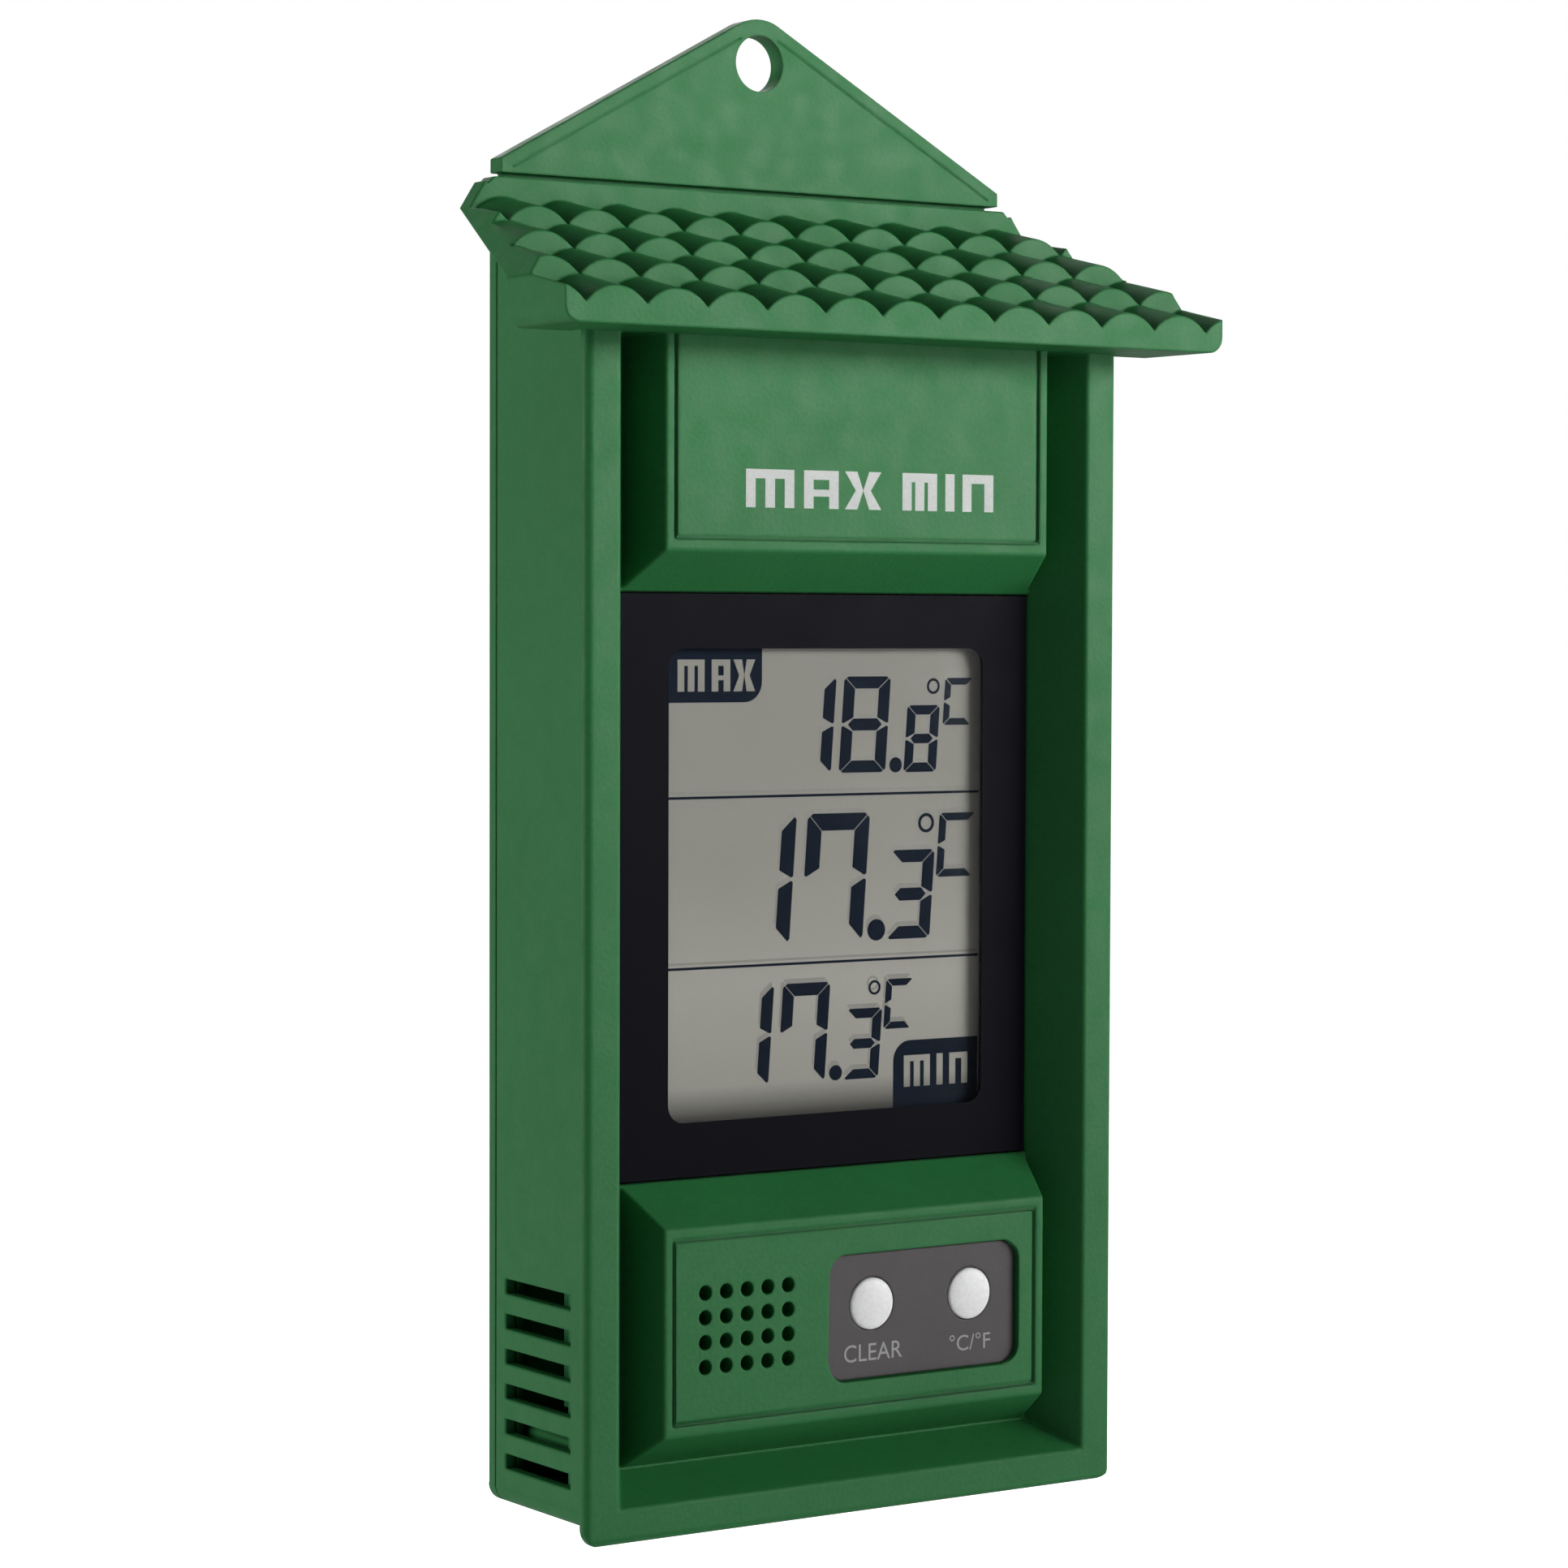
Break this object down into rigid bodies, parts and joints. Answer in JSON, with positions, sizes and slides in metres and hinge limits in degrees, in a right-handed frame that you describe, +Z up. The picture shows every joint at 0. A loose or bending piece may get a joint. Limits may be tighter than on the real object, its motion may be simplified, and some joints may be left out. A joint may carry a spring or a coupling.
{
  "type": "maximum minimum thermometer",
  "caption": "Wall-hanging digital maximum and minimum thermometer in a green case with a small tiled roof and a triangular hanger.",
  "frame": {"origin": "centre of the hanging hole, on the flat back plane that lies against the wall", "axes": "+Z up, -Y towards the viewer of the display, +X to the viewer's right"},
  "size_m": [0.1218, 0.0452, 0.2337],
  "materials": {
    "green_case": "fine-textured moulded plastic",
    "clear_window": "clear, polished",
    "black_print": "printed behind the window",
    "white_tape": "double-sided adhesive tape",
    "black_foam": "soft foam",
    "display": "liquid crystal cell",
    "reflector_film": "matte film",
    "white_holder": "moulded",
    "zebra_rubber": "silicone with carbon layers",
    "board_green": "fibreglass with solder mask",
    "black_resin": "potting resin",
    "component_can": "plated can",
    "component_sleeve": "heat-shrunk sleeve",
    "dome_steel": "sprung sheet",
    "grey_label": "sheet plastic, satin",
    "white_button": "satin",
    "cell_jacket": "plain jacket",
    "contact_metal": "nickel plated",
    "screw_steel": "zinc plated"
  },
  "bodies": {
    "root": {"front_frame": "green_case", "case_shell": "green_case", "rear_cover": "green_case", "tiled_roof": "green_case", "window_lens": "clear_window", "window_mask": "black_print", "lens_tape": "white_tape", "display_gasket": "black_foam", "display_glass": "display", "display_reflector": "reflector_film", "display_holder": "white_holder", "zebra_strips": "zebra_rubber", "circuit_board": "board_green", "chip_blob": "black_resin", "watch_crystal": "component_can", "capacitors": "component_sleeve", "thermistor": "black_resin", "contact_domes": "dome_steel", "label_plate": "grey_label", "battery": "cell_jacket", "battery_spring": "contact_metal", "battery_contact": "contact_metal", "case_screws": "screw_steel", "board_screws": "screw_steel", "roof_screws": "screw_steel"},
    "clear_button": {"clear_button": "white_button"},
    "unit_button": {"unit_button": "white_button"},
    "battery_door": {"battery_door": "green_case"}
  },
  "joints": [
    {"name": "clear_button_slide", "type": "slide", "parent": "root", "child": "clear_button", "axis": [0, 1, 0], "range_m": [0, 0.0008], "stiffness_N_per_m": 400},
    {"name": "unit_button_slide", "type": "slide", "parent": "root", "child": "unit_button", "axis": [0, 1, 0], "range_m": [0, 0.0008], "stiffness_N_per_m": 400},
    {"name": "battery_door_hinge", "type": "hinge", "parent": "root", "child": "battery_door", "pos_m": [-0.00133, -0.001, -0.0748], "axis": [-1, 0, 0], "range_deg": [0, 60]}
  ]
}
